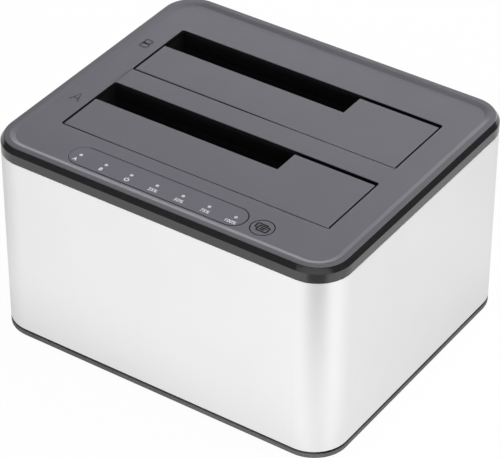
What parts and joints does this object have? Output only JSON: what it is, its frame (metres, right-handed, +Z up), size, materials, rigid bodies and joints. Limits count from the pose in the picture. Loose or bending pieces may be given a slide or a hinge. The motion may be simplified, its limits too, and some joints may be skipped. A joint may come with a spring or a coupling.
{
  "type": "hard drive docking station",
  "caption": "Desktop dock with sprung flaps over drive bays, a silver sleeve, a dark cover with an indicator strip and a copy button, and sockets at the back.",
  "frame": {"origin": "on the table under the middle of the body, at the bottom of the feet", "axes": "+Z up, +X to the right along the front, +Y from the front to the back with the sockets"},
  "size_m": [0.1324, 0.1116, 0.0769],
  "materials": {
    "cover_plastic": "fine matte grain on top, polished on the sides",
    "sleeve": "satin, anodised silver",
    "base_plastic": "satin",
    "well_plastic": "matte",
    "flap_plastic": "fine matte grain",
    "steel": "bright",
    "inlay_film": "smooth satin film",
    "light_plastic": "milky, translucent",
    "lamp": "clear over phosphor",
    "board": "solder mask",
    "black_plastic": "moulded, fine grain",
    "chip": "moulded, dull",
    "ivory_plastic": "moulded",
    "cable": "laminated film",
    "contact": "gold plated",
    "tin": "tin plated",
    "blue_plastic": "moulded",
    "foot_rubber": "matte"
  },
  "bodies": {
    "dock": {"top_cover": "cover_plastic", "shell": "sleeve", "base": "base_plastic", "drive_well_a": "well_plastic", "drive_well_b": "well_plastic", "flap_rod_a": "steel", "flap_rod_b": "steel", "flap_spring_a": "steel", "flap_spring_b": "steel", "indicator_inlay": "inlay_film", "light_guide": "light_plastic", "lamps": "lamp", "indicator_board": "board", "indicator_screws": "steel", "push_switch": "black_plastic", "cable_socket_top": "ivory_plastic", "flat_cable": "cable", "cable_socket_low": "ivory_plastic", "main_board": "board", "drive_socket_a": "black_plastic", "drive_socket_b": "black_plastic", "drive_contacts_a": "contact", "drive_contacts_b": "contact", "bridge_chip": "chip", "crystal": "tin", "inductors": "chip", "capacitors": "tin", "host_can": "tin", "host_core": "blue_plastic", "host_contacts": "contact", "supply_jack": "black_plastic", "supply_pin": "tin", "supply_spring": "contact", "switch_body": "black_plastic", "base_screws": "steel", "board_screws": "steel", "well_screws": "steel", "rubber_feet": "foot_rubber"},
    "flap_a": {"flap_a": "flap_plastic"},
    "flap_b": {"flap_b": "flap_plastic"},
    "copy_button": {"copy_button": "flap_plastic", "push_plunger": "ivory_plastic"},
    "rocker": {"switch_rocker": "black_plastic"}
  },
  "joints": [
    {"name": "flap_a_hinge", "type": "hinge", "parent": "dock", "child": "flap_a", "pos_m": [0, -0.03405, 0.0738], "axis": [-1, 0, 0], "range_deg": [0, 90], "stiffness_Nm_per_rad": 0.01, "springref_deg": -34.38, "deforming": ["flap_spring_a"]},
    {"name": "flap_b_hinge", "type": "hinge", "parent": "dock", "child": "flap_b", "pos_m": [0, 0.00505, 0.0738], "axis": [-1, 0, 0], "range_deg": [0, 90], "stiffness_Nm_per_rad": 0.01, "springref_deg": -34.38, "deforming": ["flap_spring_b"]},
    {"name": "copy_button_press", "type": "slide", "parent": "dock", "child": "copy_button", "axis": [0, 0, -1], "range_m": [0, 0.0006], "stiffness_N_per_m": 400, "springref_m": -0.002},
    {"name": "power_switch_rock", "type": "hinge", "parent": "dock", "child": "rocker", "pos_m": [-0.034, 0.0509, 0.01495], "axis": [0, 0, -1], "range_deg": [0, 24]}
  ]
}
